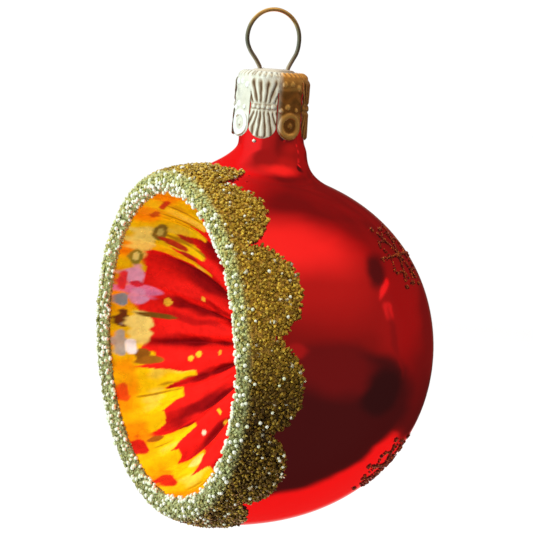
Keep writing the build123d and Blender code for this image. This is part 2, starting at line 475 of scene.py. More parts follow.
RED = Vector((0.95, 0.016, 0.012))
WINE = Vector((0.22, 0.004, 0.006))
YELLOW = Vector((1.0, 0.64, 0.004))
ORANGE = Vector((1.0, 0.36, 0.004))
PALE = Vector((1.0, 0.80, 0.12))
BROWN = Vector((0.28, 0.09, 0.006))
# Tongues of yellow paint running in from the mouth: turn, half width in degrees, reach of the tip
TONGUES = (
    (-4, 4, 0.86), (-14, 5, 0.83), (-28, 6, 0.82), (-38, 4, 0.79), (-46, 3.5, 0.74), (-53, 2.2, 0.66),
    (-66, 3, 0.95), (-93, 7, 0.925), (-105, 2.5, 0.90), (-114, 3.6, 0.70), (-124, 5, 0.79), (-133, 4, 0.90),
    (-146, 3.8, 0.765), (-155, 4, 0.90), (-165, 4.5, 0.80), (-176, 4, 0.84), (12, 4, 0.78), (24, 5, 0.86),
    (37, 4, 0.74), (49, 5, 0.83), (61, 4, 0.88), (73, 4, 0.77), (86, 5, 0.84), (99, 4, 0.73), (110, 5, 0.86),
    (123, 4, 0.79), (136, 5, 0.84), (148, 4, 0.76), (160, 5, 0.85), (172, 3, 0.80),
)  # fmt: skip
# Dabs of other colours: turn, reach, half width in degrees, half depth in reach, colour
PAINT_SPOTS = (
    (-119, 0.9965, 4.5, 0.0045, (0.85, 0.10, 0.01)),
    (-144, 0.9955, 6, 0.0060, (0.70, 0.02, 0.01)),
    (-141, 0.965, 2.4, 0.020, (0.40, 0.12, 0.01)),
    (-168, 0.990, 6, 0.010, (0.75, 0.03, 0.01)),
    (-89, 0.992, 4.5, 0.008, (0.16, 0.04, 0.01)),
    (-92, 0.955, 7, 0.035, (1.0, 0.80, 0.20)),
    (-98, 0.9945, 7, 0.0055, (0.50, 0.47, 0.40)),
    (-104, 0.955, 3, 0.020, (0.30, 0.11, 0.01)),
    (-106, 0.930, 2, 0.045, (0.36, 0.13, 0.01)),
    (-86, 0.900, 1.2, 0.070, (0.20, 0.09, 0.01)),
    (-69, 0.980, 5, 0.017, (0.92, 0.42, 0.62)),
    (-76, 0.950, 2.6, 0.050, (0.90, 0.25, 0.50)),
    (-79, 0.966, 3.4, 0.018, (0.88, 0.40, 0.66)),
    (-72, 0.9955, 4, 0.0040, (0.92, 0.04, 0.05)),
    (-73, 0.975, 1.4, 0.012, (0.80, 0.03, 0.06)),
    (-81, 0.9935, 2.8, 0.0060, (0.28, 0.36, 0.44)),
    (-52, 0.980, 8, 0.020, (1.0, 0.80, 0.16)),
    (-61, 0.985, 3.6, 0.0100, (0.30, 0.26, 0.03)),
    (-61, 0.9855, 1.8, 0.0045, (0.80, 0.80, 0.25)),
    (-44, 0.958, 4.2, 0.0150, (0.26, 0.17, 0.02)),
    (-44, 0.959, 1.8, 0.0060, (0.62, 0.50, 0.10)),
    (-25, 0.985, 4.5, 0.0060, (0.62, 0.06, 0.01)),
    (-36, 0.985, 3.5, 0.0055, (0.66, 0.12, 0.01)),
    (-47, 0.900, 1.6, 0.045, (0.55, 0.04, 0.01)),
    (-50, 0.830, 1.6, 0.060, (0.45, 0.02, 0.01)),
    (-42, 0.880, 1.2, 0.040, (0.50, 0.03, 0.01)),
    # A pure white dab: a painted highlight of a lamp on the silvering.
    (-100, 0.9790, 2.9, 0.0105, (1.0, 1.0, 1.0)),
    (-107, 0.730, 1.7, 0.016, (1.0, 0.60, 0.03)),
    (-105, 0.675, 1.8, 0.016, (1.0, 0.60, 0.03)),
    (-105, 0.510, 1.8, 0.014, (1.0, 0.42, 0.03)),
    (-79, 0.875, 2.0, 0.014, (1.0, 0.55, 0.04)),
    (-70, 0.675, 1.9, 0.016, (1.0, 0.50, 0.04)),
    (-159, 0.625, 2.6, 0.016, (1.0, 0.60, 0.03)),
    (-150, 0.610, 2.0, 0.012, (1.0, 0.60, 0.03)),
    (-153, 0.760, 1.6, 0.012, (1.0, 0.88, 0.60)),
    (-166, 0.875, 2.6, 0.035, (1.0, 0.80, 0.16)),
)


# Where the folds of the bowl lie in shade: turn, reach, half width in degrees, half depth in reach, strength
FOLDS = (
    (-60, 0.66, 6.0, 0.30, 0.85), (-72, 0.50, 3.0, 0.25, 0.60), (-85, 0.72, 2.6, 0.24, 0.55),
    (-98, 0.74, 4.6, 0.26, 0.85), (-117, 0.55, 3.0, 0.22, 0.55), (-135, 0.72, 4.4, 0.24, 0.90),
    (-143, 0.86, 2.6, 0.10, 0.80), (-40, 0.70, 3.6, 0.22, 0.75), (-160, 0.80, 2.2, 0.12, 0.50),
    (-20, 0.66, 4.0, 0.25, 0.60), (10, 0.66, 4.5, 0.25, 0.70), (32, 0.70, 3.5, 0.22, 0.60),
    (55, 0.66, 4.5, 0.25, 0.75), (80, 0.70, 4.0, 0.25, 0.65), (104, 0.66, 4.5, 0.25, 0.70),
    (130, 0.70, 4.0, 0.22, 0.65), (154, 0.66, 4.5, 0.25, 0.70), (176, 0.72, 3.5, 0.22, 0.60),
)  # fmt: skip


def flute(turn, reach):
    """(number of the flute, place across it from 0 to 1), wandering a little along its length."""
    a = math.radians(turn)
    wander = 2.2 * noise.noise(Vector((math.cos(a) * 1.7, math.sin(a) * 1.7, reach * 2.5)))
    place = (turn + wander - CREASE_TURN) * FLUTES / 360
    return math.floor(place) % FLUTES, place - math.floor(place)


def dish_colour(turn, reach, across):
    """The reflector's paint, with painted shade in its creases and folds and a painted highlight: reach is 0
    at the middle and 1 at the mouth.
    """
    crease = abs(2 * across - 1)
    n1 = noise.noise(Vector((turn * 0.11, reach * 9, 3.1)))
    n2 = noise.noise(Vector((turn * 0.35, reach * 16, 8.7)))
    # Painted shade: the creases between the flutes are darkened towards wine red.
    colour = RED.lerp(WINE, 0.9 * smooth(0.70, 0.98, crease + 0.30 * n1) * smooth(1.0, 0.8, reach))
    side = (turn + 180) % 360 - 180
    streak = noise.noise(Vector((turn * 0.42, reach * 3.0, 5.2)))
    for at, at_reach, wide, deep, strength in FOLDS:
        off = (side - at + 180) % 360 - 180 + 2.0 * n1
        away = math.hypot(off / wide, (reach - at_reach) / deep)
        if away < 1.3:
            colour = colour.lerp(WINE, strength * smooth(1.25, 0.35, away + 0.25 * streak))
    warm = 0.0
    for at, wide, tip in TONGUES:
        off = abs((side - at + 180) % 360 - 180 + 2.2 * n1)
        if off < 3 * wide and reach > tip - 0.02:
            spread = wide * (0.45 + 1.1 * smooth(tip, 0.985, reach))
            inside = smooth(spread + 0.7, spread - 0.9, off + 1.6 * streak)
            warm = max(warm, inside * smooth(tip, tip + 0.025, reach))
    tone = ORANGE.lerp(YELLOW, smooth(0.35, 0.85, warm + 0.5 * n2))
    tone = tone.lerp(PALE, smooth(0.15, 0.5, n1 + 0.4 * streak) * 0.5)
    tone = tone.lerp(BROWN, smooth(0.30, 0.55, -streak + 0.3 * n2) * smooth(0.995, 0.97, reach) * 0.7)
    colour = colour.lerp(tone, smooth(0.25, 0.5, warm))
    rim = smooth(0.965, 0.985, reach + 0.012 * streak)
    colour = colour.lerp(ORANGE.lerp(YELLOW, smooth(-0.2, 0.3, n1)), 0.95 * rim)
    for at, at_reach, wide, deep, tone in PAINT_SPOTS:
        away = math.hypot((side - at) / wide, (reach - at_reach) / deep)
        if away < 1.6:
            colour = colour.lerp(Vector(tone), smooth(1.15, 0.85, away + 0.35 * n2 + 0.45 * streak))
    return colour


def reflector_dish(material):
    """The pressed-in bowl: lobed flutes with sharp creases, painted like flames round the outside."""
    rng = random.Random(5)
    columns, rows = 648, 110
    heights = [rng.uniform(0.75, 1.2) for _ in range(FLUTES)]
    verts, colours, faces = [], [], []
    for i in range(rows + 1):
        tilt = math.radians(90 * (i / rows) ** 0.85)
        s, c = math.sin(tilt), math.cos(tilt)
        for j in range(columns):
            turn = 360 * j / columns
            reach = c
            whole, across = flute(turn, reach)
            lobe = 1 - abs(2 * across - 1) ** 1.8
            height = 2.0 * heights[whole] * lobe * s**0.6 * c**0.45
            fine = noise.noise(Vector((turn * 0.22, reach * 5, 1.3)))
            height += 0.35 * fine * smooth(0.0, 0.25, s) * smooth(0.0, 0.2, c)
            y = MOUTH_Y + DISH_DEPTH * s
            r = MOUTH_RADIUS * c
            length = math.hypot(DISH_DEPTH * c, MOUTH_RADIUS * s)
            r -= height * DISH_DEPTH * c / length
            y -= height * MOUTH_RADIUS * s / length
            verts.append(settled(around(y, max(r, 0.0), turn)))
            colours.append(dish_colour(turn, reach, across))
    for i in range(rows):
        for j in range(columns):
            near, beside, beyond, below = cell(i, j, columns)
            faces.append((near, below, beyond, beside))
    piece = new_piece("reflector_dish", verts, faces, material, "bauble", colours=colours)
    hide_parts("glass_bauble")
    return piece


# ---------------------------------------------------------------- glitter
def in_border(point, slack=0.0):
    """True where the border's glitter lies: the lip and its ring of scallops, clear of the neck."""
    if math.hypot(point.x, point.y) < NECK_CLEAR - slack and point.z > AXIS_Z:
        return False
    if point.y < SCALLOP_ROOT_Y + slack:
        return True
    turn = math.degrees(math.atan2(point.x, point.z - AXIS_Z)) - SCALLOP_TURN
    radius = math.hypot(point.x, point.z - AXIS_Z)
    step = 360 / SCALLOPS
    off = turn - step * round(turn / step)
    across = radius * math.sin(math.radians(off))
    short = SHORT_SCALLOPS.get(round(turn / step), 0.0)
    return math.hypot(across, point.y + short - (SCALLOP_TIP_Y - SCALLOP_RADIUS)) < SCALLOP_RADIUS + slack


def outline_rows(first, last, pitch):
    """Angles of outline points a pitch apart."""
    found, walked, angle = [first], 0.0, first
    y, r = outline(first)
    while angle < last:
        angle += 0.1
        y2, r2 = outline(angle)
        walked += math.hypot(y2 - y, r2 - r)
        y, r = y2, r2
        if walked >= pitch:
            found.append(angle)
            walked -= pitch
    return found


def glitter_bed(material):
    """The glue the grains sit in."""
    columns = 480
    verts, faces, inside, colours = [], [], [], []
    rows = outline_rows(-180, -1, 0.33)
    for angle in rows:
        for j in range(columns):
            turn = 360 * j / columns
            point, normal = outline_at(angle, turn)
            inside.append(in_border(point, -0.1))
            rough = noise.noise(point * 1.7)
            # Painted light: the glue is painted gold towards the top and dark brown towards the bottom, as if
            # lit from above.
            bed = Vector((0.10, 0.05, 0.01))
            bed = bed.lerp(Vector((0.75, 0.44, 0.06)), smooth(-9.0, 9.0, point.z - AXIS_Z))
            colours.append(bed.lerp(Vector((0.66, 0.74, 0.34)), smooth(-14.8, -15.6, point.y)))
            verts.append(settled(point + normal * (0.12 + 0.10 * rough)))
    for i in range(len(rows) - 1):
        for j in range(columns):
            quad = cell(i, j, columns)
            if all(inside[v] for v in quad):
                faces.append(quad)
    piece = new_piece("glitter_glue", verts, faces, material, "bauble", colours=colours)
    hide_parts("glitter_border")
    return piece


def grain(verts, faces, colours, rng, centre, normal, size, colour):
    """One crushed grain: a squashed eight-sided crystal, tipped at random."""
    side = normal.orthogonal().normalized()
    side.rotate(Matrix.Rotation(rng.uniform(0, 2 * math.pi), 3, normal))
    tip = (normal + 0.75 * Vector((rng.gauss(0, 0.5), rng.gauss(0, 0.5), rng.gauss(0, 0.5)))).normalized()
    side = (side - tip * side.dot(tip)).normalized()
    other = tip.cross(side)
    start = len(verts)
    reach = [size * rng.uniform(0.75, 1.25) for _ in range(4)]
    for direction, length in zip((side, other, -side, -other), reach):
        verts.append(centre + direction * length)
    verts.append(centre + tip * size * rng.uniform(0.5, 0.9))
    verts.append(centre - tip * size * 0.5)
    colours.extend([colour] * 6)
    for i in range(4):
        j = (i + 1) % 4
        faces.append((start + i, start + j, start + 4))
        faces.append((start + j, start + i, start + 5))


def border_colour(rng, point, lipness):
    """Gold on the scallops and paler and greener towards the lip, painted darker lower down as painted shade.
    """
    gold = Vector((1.0, 0.70, 0.08))
    brown = Vector((0.13, 0.07, 0.012))
    silver = Vector((0.82, 0.90, 0.40))
    # low: how far down the border a grain lies; lower grains, the lip's among them, are painted darker as
    # painted shade.
    low = smooth(10.0, -6.0, point.z - AXIS_Z)
    bright = (1 - 0.90 * low) * (0.30 + 0.70 * rng.random())
    colour = brown.lerp(gold, bright + 0.55 * low * rng.random() ** 3)
    # A few grains painted near white: painted glints.
    if rng.random() < 0.03:
        colour = Vector((1.0, 1.0, 0.75))
    return colour.lerp(silver * (1 - 0.25 * low), min(1.0, lipness * rng.uniform(0.5, 1.05)))


def border_grains(material, name, seed, lift, size, rounded):
    """A layer of grains over the border, lift above the glass."""
    rng = random.Random(seed)
    verts, faces, colours = [], [], []
    angles = outline_rows(-180, -1, GRAIN_PITCH)
    for angle, following in zip(angles, angles[1:]):
        y, radius = outline(angle)
        count = int(2 * math.pi * radius / GRAIN_PITCH)
        start = rng.random()
        for j in range(count):
            turn = 360 * (j + start + rng.uniform(-0.5, 0.5)) / count
            at = angle + (following - angle) * rng.uniform(-0.6, 0.6)
            point, normal = outline_at(min(max(at, -179.5), -0.6), turn)
            if not in_border(point, rng.uniform(-0.14, 0.14)):
                continue
            lipness = smooth(-14.5, -15.6, point.y) if at > -90 else 1.0
            thin = 1 - 0.55 * smooth(-80, -140, at)
            centre = settled(point) + normal * (lift + rng.uniform(-0.06, 0.08)) * thin
            tone = border_colour(rng, point, lipness)
            grain(verts, faces, colours, rng, centre, normal, thin * size * rng.uniform(0.7, 1.25), tone)
    piece = new_piece(name, verts, faces, material, "bauble", rounded, colours)
    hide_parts("glitter_border")
    return piece


def ball(verts, faces, centre, radius):
    """A small round bead."""
    start = len(verts)
    rings, sides = 5, 10
    verts.append(centre + Vector((0, 0, radius)))
    for i in range(1, rings):
        t = math.pi * i / rings
        for j in range(sides):
            a = 2 * math.pi * j / sides
            out = Vector((math.sin(t) * math.cos(a), math.sin(t) * math.sin(a), math.cos(t)))
            verts.append(centre + radius * out)
    verts.append(centre - Vector((0, 0, radius)))
    last = len(verts) - 1
    for j in range(sides):
        k = (j + 1) % sides
        faces.append((start, start + 1 + j, start + 1 + k))
        faces.append((last, last - sides + k, last - sides + j))
        for i in range(rings - 2):
            a, b = start + 1 + i * sides, start + 1 + (i + 1) * sides
            faces.append((a + j, b + j, b + k, a + k))


def glass_beads(material):
    """Larger beads: crowded along the lip, scattered over the scallops, and a stray one on the neck."""
    rng = random.Random(21)
    verts, faces = [], []
    for _ in range(5200):
        angle = rng.uniform(-168, -4)
        turn = rng.uniform(0, 360)
        point, normal = outline_at(angle, turn)
        lipness = smooth(-14.6, -15.6, point.y) if angle > -90 else 1.0
        if rng.random() > 0.045 + 0.13 * lipness or not in_border(point, -0.2):
            continue
        radius = rng.uniform(0.24, 0.33) + 0.09 * lipness * rng.random()
        ball(verts, faces, settled(point) + normal * (0.34 + 0.35 * radius), radius)
    ball(verts, faces, Vector((3.36, -4.34, -16.9)), 0.30)
    piece = new_piece("glass_beads", verts, faces, material, "bauble")
    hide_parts("glitter_border")
    return piece


def star_grains(material, tree, index):
    """A painted snowflake: thin arms of small glue dabs and grains, with separate dots round it."""
    rng = random.Random(40 + index)
    angle = math.degrees(math.asin(((STAR_Y - WIDEST_Y) / BACK_LENGTH) ** (FULLNESS / 2)))
    centre, normal = outline_at(angle, STAR_TURN + 90 * index)
    along = Vector((0, 1, 0)).cross(normal).normalized()
    across = normal.cross(along)
    dark = Vector((0.26, 0.018, 0.010))
    amber = Vector((1.0, 0.24, 0.04))
    verts, faces, colours = [], [], []

    def dab(a, b, spread, count, size):
        for _ in range(count):
            u, v = a + rng.gauss(0, spread), b + rng.gauss(0, spread)
            start = centre + along * u + across * v + normal * 6
            hit, face_normal, _, _ = tree.ray_cast(start * MM, -normal)
            if hit is None:
                continue
            # Most grains are the stars' dark maroon; a few are painted amber as painted glints.
            colour = dark.lerp(amber, rng.random() ** 2.5)
            place = hit / MM + face_normal * rng.uniform(0.04, 0.16)
            grain(verts, faces, colours, rng, place, face_normal, size * rng.uniform(0.7, 1.3), colour)

    for arm in range(6):
        a = math.radians(60 * arm)
        c, s = math.cos(a), math.sin(a)
        for k in range(11):
            d = 0.5 + 4.6 * k / 10
            dab(c * d, s * d, 0.12, 5, 0.19)
        dab(c * STAR_ARM_DOT, s * STAR_ARM_DOT, 0.20, 22, 0.19)
        for side in (-1, 1):
            b = a + side * math.radians(60)
            steps = [(1.6 * k / 3, 0.10, 4, 0.17) for k in range(4)] + [(STAR_BRANCH_DOT, 0.15, 12, 0.18)]
            for d, spread, count, size in steps:
                u, v = c * STAR_BRANCH_AT + math.cos(b) * d, s * STAR_BRANCH_AT + math.sin(b) * d
                dab(u, v, spread, count, size)
    dab(0, 0, 0.35, 36, 0.2)
    name = f"star_grains_{index + 1}"
    piece = new_piece(name, verts, faces, material, "bauble", True, colours)
    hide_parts(f"glitter_star_{index + 1}")
    return piece


# ---------------------------------------------------------------- cap
# The cap's side away from +Y is painted silver-white: a painted highlight.
SILVER = Vector((0.94, 1.0, 0.91))
GOLD = Vector((0.46, 0.23, 0.05))  # the cap's gold, painted dark brown on its +Y side as painted shade
# Dots on the plainer petals: across, down, radius
DOTS = (
    (-1.3, 2.7, 0.5), (0.1, 2.6, 0.45), (1.4, 3.1, 0.5),
    (-0.6, 6.2, 0.5), (1.1, 6.6, 0.38), (-1.7, 6.8, 0.42),
)  # fmt: skip


def ribs(place, pitch):
    """Rounded ribs with sharp creases between them."""
    return abs(math.cos(math.pi * place / pitch)) ** 0.55


def dot(x, v, at_x, at_v, radius):
    """A round raised dot."""
    d = math.hypot(x - at_x, v - at_v) / radius
    return math.sqrt(max(0.0, 1 - d * d))


def relief(kind, x, v, half):
    """(how far the stamping stands out, its painted shade and highlight, how sunken it is) at x across the
    petal and v down it.
    """
    out, shade = 0.0, 1.0
    swell = 0.5 + 0.5 * noise.noise(Vector((x * 0.9 + 7 * kind, v * 0.7, 4.2)))
    if 0.2 < v < 1.9:  # beads round the shoulder
        zone = smooth(0.2, 0.55, v) * smooth(1.9, 1.35, v)
        bead = ribs(x + 0.5, half * 2 / 4.5)
        out += 0.20 * bead * zone
        # Painted shade in the creases between the beads.
        shade *= 1 - 0.5 * zone * (1 - bead)
    out += 0.07 * smooth(half - 0.5, half - 0.15, abs(x)) * smooth(2.0, 2.6, v)
    if kind:  # two fans of teardrop ribs tied at the waist
        bent = x + 0.16 * noise.noise(Vector((x * 1.3, v * 0.9, 1.0)))
        upper = smooth(1.9, 2.9, v + 0.15 * abs(x)) * smooth(6.0, 5.3, v)
        lower = smooth(6.7, 7.3, v) * smooth(11.4, 10.8, v)
        pitches = (0.74 + 0.50 * smooth(6.0, 2.2, v), 0.62 + 0.48 * smooth(6.8, 11.0, v))
        for zone, pitch in zip((upper, lower), pitches):
            rib = ribs(bent, pitch)
            out += 0.24 * rib * zone * (0.8 + 0.4 * swell)
            # Painted shade in the creases between the ribs.
            shade *= 1 - 0.90 * zone * (1 - rib**2.2)
        waist = max(dot(x, v, 0.82 * k, 6.3 + 0.12 * (k % 2), 0.44 - 0.05 * (k % 2)) for k in range(-2, 3))
        band = smooth(5.7, 6.0, v) * smooth(6.95, 6.6, v)
        # Painted shade in the band round the waist's dots.
        return out + 0.26 * waist, shade * (1 - 0.45 * band * (1 - waist)), 0.0
    leaf = max(dot(x, v, *place) for place in DOTS)
    scroll = math.sin(v * 2.6 + 1.8 * math.sin(x * 1.7)) * smooth(3.2, 3.8, v) * smooth(5.9, 5.3, v)
    from_hub = math.hypot(x, v - 9.1)
    rosette = math.sqrt(max(0.0, 1 - ((from_hub - 1.62) / 0.46) ** 2))
    hub = dot(x, v, 0.05, 9.1, 0.48)
    plate = smooth(3.4, 3.9, v) * smooth(7.6, 6.9, v) * (1 - leaf) * (0.6 + 0.4 * swell)
    well = smooth(1.35, 1.0, from_hub) * (1 - hub)
    out += 0.26 * leaf + 0.07 * scroll + 0.28 * rosette + 0.24 * hub - 0.05 * well
    # Painted highlight on the raised dots and rosette; painted shade comes from the sunken plate and well.
    return out, shade * (1 + 0.5 * leaf + 0.35 * rosette), plate + 0.9 * well


def cap_profile(v):
    """(radius, z) of the plain cap at a distance v down its outline from the shoulder's start."""
    if v < CAP_SHOULDER * math.pi / 2:
        a = v / CAP_SHOULDER
        return CAP_RADIUS - CAP_SHOULDER * (1 - math.sin(a)), CAP_PLATE - CAP_SHOULDER * (1 - math.cos(a))
    z = CAP_PLATE - CAP_SHOULDER - (v - CAP_SHOULDER * math.pi / 2)
    return CAP_RADIUS + 0.10 * smooth(CAP_TOP - 4, CAP_BOTTOM, z), z


def crown_cap(material):
    """The stamped cap: eight embossed petals below a beaded shoulder and a raised boss."""
    per_petal = 44
    columns = per_petal * PETALS
    pitch = 2 * math.pi * CAP_RADIUS / PETALS
    half = pitch / 2
    skirt_top = CAP_SHOULDER * math.pi / 2
    bottom_v = skirt_top + (CAP_PLATE - CAP_SHOULDER - CAP_BOTTOM)
    round_v = bottom_v - half * 0.94
    slit_v = bottom_v - SLIT_LENGTH
    rows = [0.13 * i for i in range(int(bottom_v / 0.13))] + [bottom_v - 0.06, bottom_v]
    verts, faces, colours = [], [], []
    grid = {}
    top = [(0.12 * i, -0.12 * smooth(2.0, 3.2, 0.12 * i)) for i in range(27)]
    top += [(3.35, -0.22), (3.5, -0.36), (3.7, -0.46), (3.9, -0.5), (CAP_RADIUS - CAP_SHOULDER - 0.05, -0.5)]
    for i, (radius, drop) in enumerate(top):
        for j in range(columns):
            a = math.radians(PETAL_TURN - 180 / PETALS) + 2 * math.pi * j / columns
            grid[("top", i, j)] = len(verts)
            x, y = radius * math.cos(a), radius * math.sin(a)
            off = math.hypot(x, abs(y) - FOOT_SPREAD)
            if abs(off - FOOT_HOLE) < 0.09:
                x *= FOOT_HOLE / off
                y = math.copysign(FOOT_SPREAD + (abs(y) - FOOT_SPREAD) * FOOT_HOLE / off, y)
            verts.append((x, y, CAP_TOP + drop))
            # The top plate is painted from silver-white towards dark gold across +Y: painted highlight and
            # painted shade.
            colours.append(SILVER.lerp(GOLD, 0.4 + 0.3 * smooth(-2, 3, y)))
    for petal in range(PETALS):
        middle = math.radians(PETAL_TURN + 360 / PETALS * petal)
        for i, v in enumerate(rows):
            width = 1.0
            if v > slit_v:
                width = 1 - 0.09 / half
            if v > round_v:
                width *= math.sqrt(max(0.0, 1 - ((v - round_v) / (bottom_v - round_v)) ** 2))
            for j in range(per_petal + 1):
                across = (2 * j / per_petal - 1) * width
                x = across * half
                radius, z = cap_profile(v)
                out, shade, sunk = relief(petal % 2, x, v * 0.95, half)
                a = middle + across * math.pi / PETALS
                normal_z = max(0.0, math.cos(v / CAP_SHOULDER)) if v < skirt_top else 0.0
                normal_r = math.sqrt(1 - normal_z**2)
                radius += out * normal_r
                z += out * normal_z
                grid[("p", petal, i, j)] = len(verts)
                verts.append((radius * math.cos(a), radius * math.sin(a), z))
                if v > slit_v:
                    # The petal edges beside the slits are painted dark: painted shade in the gaps.
                    shade *= 1 - 0.75 * smooth(half - 0.22, half - 0.08, abs(x))
                # How far round towards +Y the cap is painted dark gold as painted shade, not silver-white as
                # a painted highlight.
                gold_side_and_painted_light = smooth(0.10, 0.34, math.sin(a) * 0.90 + math.cos(a) * 0.44)
                # The sunken plate and well are painted darker, more on the gold side: painted shade.
                shade *= 1 - sunk * (0.06 + 0.50 * gold_side_and_painted_light)
                # High on the shoulder of the gold side the colour is brighter: a painted highlight.
                metal = SILVER.lerp(GOLD, gold_side_and_painted_light) * (1 + 1.1 * gold_side_and_painted_light * smooth(2.4, 0.8, v))
                colours.append([c * shade ** (1 + 0.35 * i) for i, c in enumerate(metal)])
    for i in range(len(top) - 1):
        for j in range(columns):
            k = (j + 1) % columns
            quad = [grid[("top", *place)] for place in ((i, j), (i, k), (i + 1, k), (i + 1, j))]
            if all(math.hypot(verts[v][0], abs(verts[v][1]) - FOOT_SPREAD) > FOOT_HOLE - 0.01 for v in quad):
                faces.append(quad)
    last = len(top) - 1
    for petal in range(PETALS):
        for j in range(per_petal):
            a = grid[("top", last, (petal * per_petal + j) % columns)]
            b = grid[("top", last, (petal * per_petal + j + 1) % columns)]
            faces.append((a, b, grid[("p", petal, 0, j + 1)], grid[("p", petal, 0, j)]))
            for i in range(len(rows) - 1):
                around_quad = ((i, j), (i, j + 1), (i + 1, j + 1), (i + 1, j))
                faces.append(tuple(grid[("p", petal, *place)] for place in around_quad))
    piece = new_piece("stamped_cap", verts, faces, material, "cap", colours=colours)
    bm = bmesh.new()
    bm.from_mesh(piece.data)
    bmesh.ops.remove_doubles(bm, verts=bm.verts, dist=0.004 * MM)
    bmesh.ops.dissolve_degenerate(bm, edges=bm.edges, dist=0.0005 * MM)
    bmesh.ops.recalc_face_normals(bm, faces=bm.faces)
    bm.to_mesh(piece.data)
    bm.free()
    sheet = piece.modifiers.new("sheet", "SOLIDIFY")
    sheet.thickness = CAP_SHEET * MM
    sheet.offset = -1
    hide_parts("crown_cap")
    return piece


# ---------------------------------------------------------------- wire
def wire_hanger(material):
    """A round loop whose ends run into the cap's holes and spring outwards inside the neck."""
    hole = CAP_TOP - 0.15
    leave = math.atan2(hole, FOOT_SPREAD) + math.acos(LOOP_RADIUS / math.hypot(FOOT_SPREAD, hole))
    # (y, z) down one leg: above the hole, in it, waist, middle, widest, tip
    leg = [(3.2, -3.75), (FOOT_SPREAD, hole), (2.27, -7.5), (3.0, -12.0), (3.8, -16.2)]
    leg.append((3.6, CAP_TOP - LEG_LENGTH))
    points = [Vector((0, y, z)) for y, z in reversed(leg)]
    steps = 40
    for i in range(steps + 1):
        a = leave + (math.pi - 2 * leave) * i / steps
        points.append(Vector((0, LOOP_RADIUS * math.cos(a), LOOP_RADIUS * math.sin(a))))
    points += [Vector((0, -y, z)) for y, z in leg]
    for point in points:
        point.y -= LOOP_LEAN * smooth(hole, 0.0, point.z)
    curve = bpy.data.curves.new("wire_loop", "CURVE")
    curve.dimensions = "3D"
    spline = curve.splines.new("NURBS")
    spline.points.add(len(points) - 1)
    for target, p in zip(spline.points, points):
        target.co = (*(p * MM), 1.0)
    spline.order_u = 3
    spline.use_endpoint_u = True
    spline.resolution_u = 6
    curve.bevel_depth = WIRE_RADIUS * MM
    curve.bevel_resolution = 6
    curve.use_fill_caps = True
    curve.materials.append(material)
    piece = bpy.data.objects.new("wire_loop", curve)
    scene.collection.objects.link(piece)
    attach(piece, "hanger")
    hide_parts("wire_hanger")
    return piece


# ---------------------------------------------------------------- stage
def view_axes():
    """(towards the viewer, level right, up across the view)."""
    a, e = math.radians(VIEW_AZIMUTH), math.radians(VIEW_ELEVATION)
    back = Vector((math.sin(a) * math.cos(e), -math.cos(a) * math.cos(e), math.sin(e)))
    right = Vector((math.cos(a), math.sin(a), 0))
    return back, right, back.cross(right)


def rolled(right, up):
    """right and up turned by the camera's roll."""
    r = math.radians(VIEW_ROLL)
    return right * math.cos(r) + up * math.sin(r), up * math.cos(r) - right * math.sin(r)


def make_camera():
    """The camera, looking at the reflector's axis from a little to the right and above."""
    back, right, up = view_axes()
    place = Vector((0, TARGET_Y, AXIS_Z)) + right * VIEW_RIGHT + up * VIEW_UP + back * VIEW_DISTANCE
    turn = Matrix((*rolled(right, up), back))
    camera = bpy.data.objects.new("camera", bpy.data.cameras.new("camera"))
    scene.collection.objects.link(camera)
    camera.matrix_world = Matrix.Translation(place * MM) @ turn.transposed().to_4x4()
    camera.data.lens = LENS
    camera.data.sensor_width = SENSOR
    camera.data.clip_start = 0.01
    camera.data.clip_end = 20.0
    scene.camera = camera


